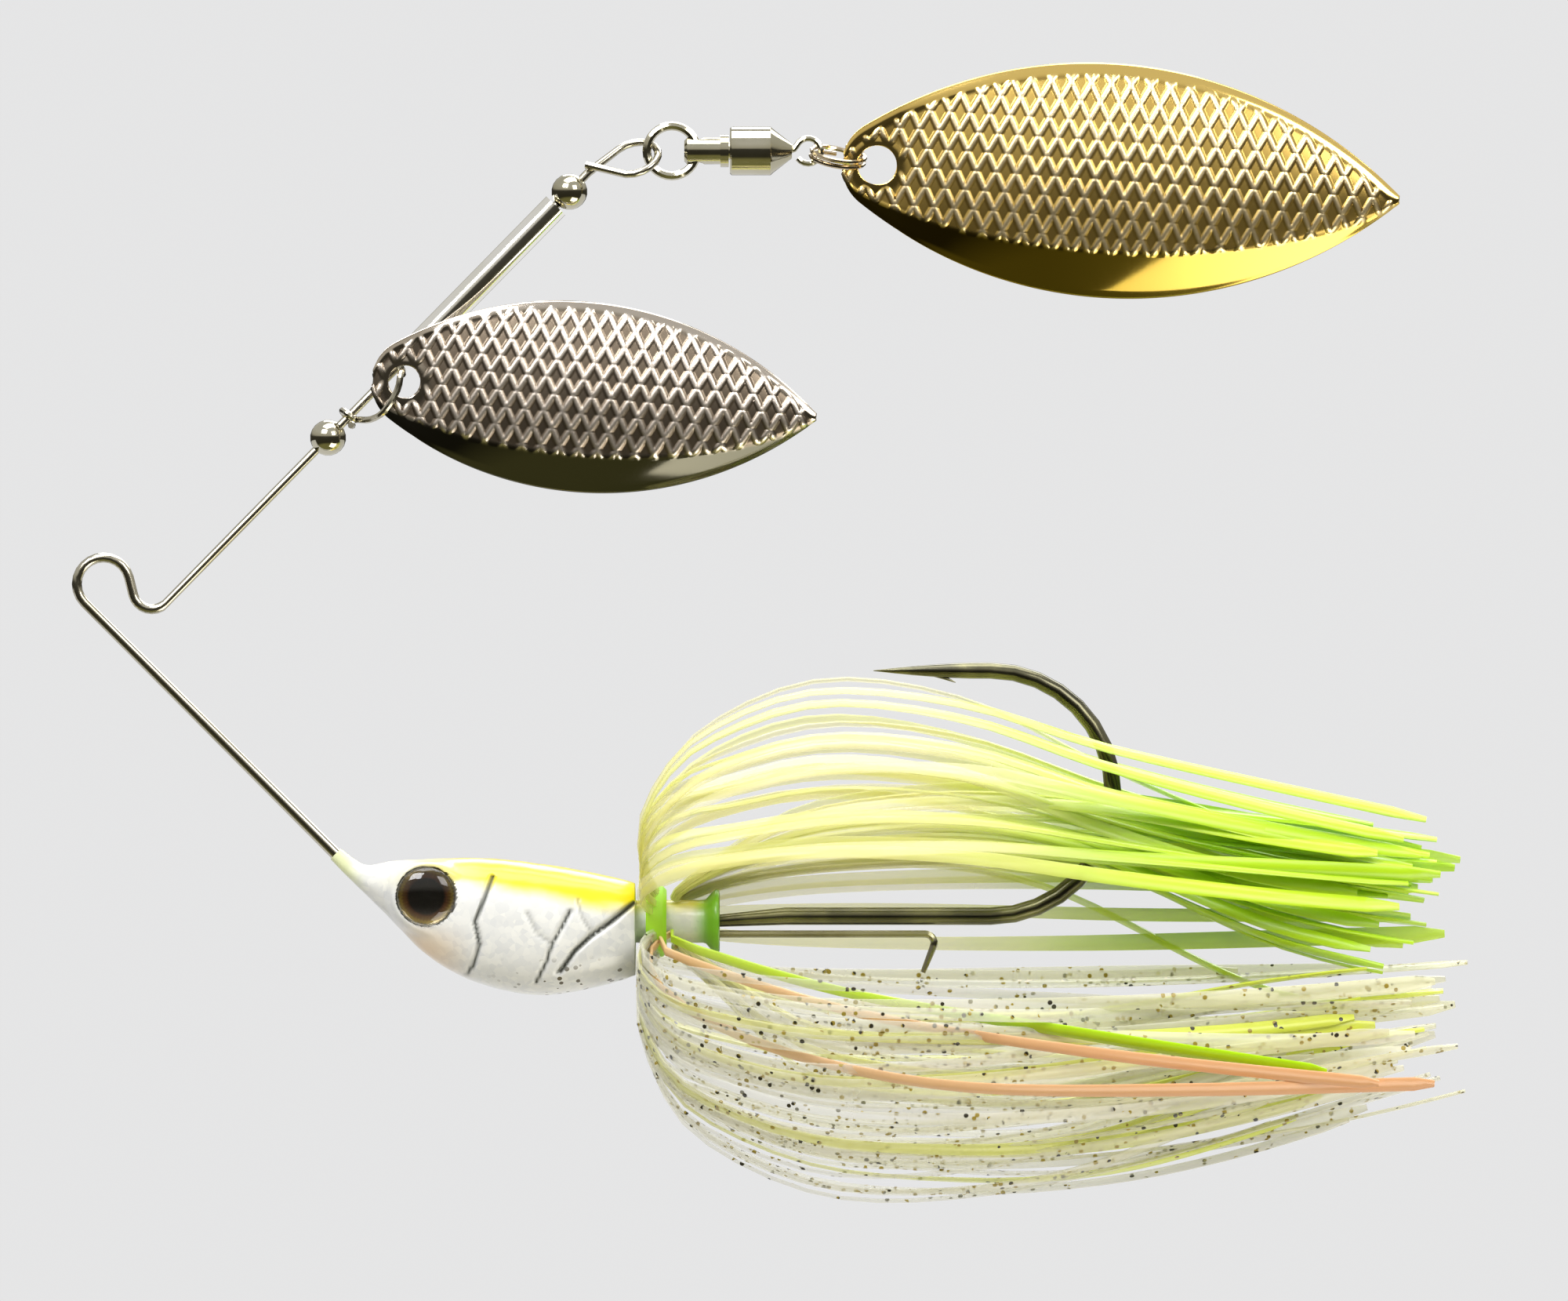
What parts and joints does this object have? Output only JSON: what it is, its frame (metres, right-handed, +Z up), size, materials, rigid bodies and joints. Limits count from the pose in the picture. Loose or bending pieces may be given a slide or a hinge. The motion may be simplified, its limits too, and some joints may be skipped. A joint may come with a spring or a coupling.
{
  "type": "fishing spinnerbait",
  "caption": "Tandem-willow spinnerbait: painted lead head on a hook and bent wire, silicone skirt, textured nickel front blade on a clevis and brass rear blade on a ball-bearing swivel.",
  "frame": {"origin": "centre of the open line-tie bend of the wire form", "axes": "+X towards the skirt and tail, +Z up to the blades, -Y the left side of the lure"},
  "size_m": [0.0961, 0.0298, 0.0779],
  "materials": {
    "head_paint": "pearl white lacquer over cast lead alloy, chartreuse back",
    "eye_foil": "gold and black foil",
    "eye_dome": "clear domed resin over a dark pupil",
    "hook_steel": "black nickel",
    "wire_steel": "bright stainless spring wire",
    "keeper_steel": "dull stainless wire",
    "band_rubber": "bright green elastic rubber",
    "bead_plating": "polished nickel",
    "sleeve_plating": "polished nickel",
    "clevis_steel": "bright stainless wire",
    "nickel_blade": "polished nickel with a raised diamond pattern",
    "brass_blade": "polished brass with a raised diamond pattern",
    "swivel_plating": "polished nickel",
    "ring_steel": "bright stainless wire",
    "ball_steel": "polished bearing steel",
    "pearl_silicone": "translucent pearl silicone with flakes",
    "chartreuse_silicone": "translucent chartreuse silicone"
  },
  "bodies": {
    "lure": {"head": "head_paint", "eye_foil_left": "eye_foil", "eye_foil_right": "eye_foil", "eye_dome_left": "eye_dome", "eye_dome_right": "eye_dome", "hook": "hook_steel", "wire_form": "wire_steel", "trailer_keeper": "keeper_steel", "skirt_band": "band_rubber", "lower_bead": "bead_plating", "skirt_strand_lower_left_1": "pearl_silicone", "skirt_strand_lower_left_2": "pearl_silicone", "skirt_strand_lower_left_3": "pearl_silicone", "skirt_strand_lower_left_4": "pearl_silicone", "skirt_strand_lower_left_5": "pearl_silicone", "skirt_strand_lower_left_6": "pearl_silicone", "skirt_strand_lower_left_7": "pearl_silicone", "skirt_strand_lower_right_1": "pearl_silicone", "skirt_strand_lower_right_2": "pearl_silicone", "skirt_strand_lower_right_3": "pearl_silicone", "skirt_strand_lower_right_4": "pearl_silicone", "skirt_strand_lower_right_5": "pearl_silicone", "skirt_strand_lower_right_6": "pearl_silicone", "skirt_strand_lower_right_7": "pearl_silicone", "skirt_strand_side_left_1": "chartreuse_silicone", "skirt_strand_side_left_2": "chartreuse_silicone", "skirt_strand_side_right_1": "chartreuse_silicone", "skirt_strand_side_right_2": "chartreuse_silicone", "skirt_strand_upper_left_1": "chartreuse_silicone", "skirt_strand_upper_left_2": "chartreuse_silicone", "skirt_strand_upper_left_3": "chartreuse_silicone", "skirt_strand_upper_left_4": "chartreuse_silicone", "skirt_strand_upper_left_5": "chartreuse_silicone", "skirt_strand_upper_left_6": "chartreuse_silicone", "skirt_strand_upper_left_7": "chartreuse_silicone", "skirt_strand_upper_right_1": "chartreuse_silicone", "skirt_strand_upper_right_2": "chartreuse_silicone", "skirt_strand_upper_right_3": "chartreuse_silicone", "skirt_strand_upper_right_4": "chartreuse_silicone", "skirt_strand_upper_right_5": "chartreuse_silicone", "skirt_strand_upper_right_6": "chartreuse_silicone", "skirt_strand_upper_right_7": "chartreuse_silicone"},
    "clevis": {"front_clevis": "clevis_steel"},
    "front_blade": {"front_blade": "nickel_blade"},
    "sleeve": {"spacer_sleeve": "sleeve_plating"},
    "upper_bead": {"upper_bead": "bead_plating"},
    "ring": {"swivel_ring": "swivel_plating"},
    "post": {"swivel_post": "swivel_plating"},
    "barrel": {"swivel_barrel": "swivel_plating", "swivel_eye": "swivel_plating", "bearing_ball_1": "ball_steel", "bearing_ball_2": "ball_steel", "bearing_ball_3": "ball_steel", "bearing_ball_4": "ball_steel", "bearing_ball_5": "ball_steel", "bearing_ball_6": "ball_steel"},
    "split_ring": {"split_ring": "ring_steel"},
    "rear_blade": {"rear_blade": "brass_blade"}
  },
  "joints": [
    {"name": "clevis_spin", "type": "hinge", "parent": "lure", "child": "clevis", "pos_m": [0.01648, 0, 0.01116], "axis": [0.7004, 0, 0.7137], "continuous": true},
    {"name": "front_blade_flap", "type": "hinge", "parent": "clevis", "child": "front_blade", "pos_m": [0.02041, -0.002, 0.01445], "axis": [0, 1, 0], "range_deg": [-30, 5]},
    {"name": "sleeve_spin", "type": "hinge", "parent": "lure", "child": "sleeve", "pos_m": [0.02069, 0, 0.01544], "axis": [0.7004, 0, 0.7137], "continuous": true},
    {"name": "upper_bead_spin", "type": "hinge", "parent": "lure", "child": "upper_bead", "pos_m": [0.03171, 0, 0.02668], "axis": [0.7004, 0, 0.7137], "continuous": true},
    {"name": "ring_swing", "type": "hinge", "parent": "lure", "child": "ring", "pos_m": [0.03773, 0, 0.02945], "axis": [0, 1, 0], "range_deg": [-25, 35]},
    {"name": "post_swing", "type": "hinge", "parent": "ring", "child": "post", "pos_m": [0.04038, 0, 0.02945], "axis": [0, 0, 1], "range_deg": [-40, 40]},
    {"name": "barrel_spin", "type": "hinge", "parent": "post", "child": "barrel", "pos_m": [0.04263, 0, 0.02945], "axis": [1, 0, 0], "continuous": true},
    {"name": "split_ring_swing", "type": "hinge", "parent": "barrel", "child": "split_ring", "pos_m": [0.0482, 0, 0.02945], "axis": [0, 1, 0], "range_deg": [-35, 35]},
    {"name": "rear_blade_flap", "type": "hinge", "parent": "split_ring", "child": "rear_blade", "pos_m": [0.05175, 0, 0.02871], "axis": [0.2062, 0, 0.9785], "range_deg": [-25, 25]}
  ]
}
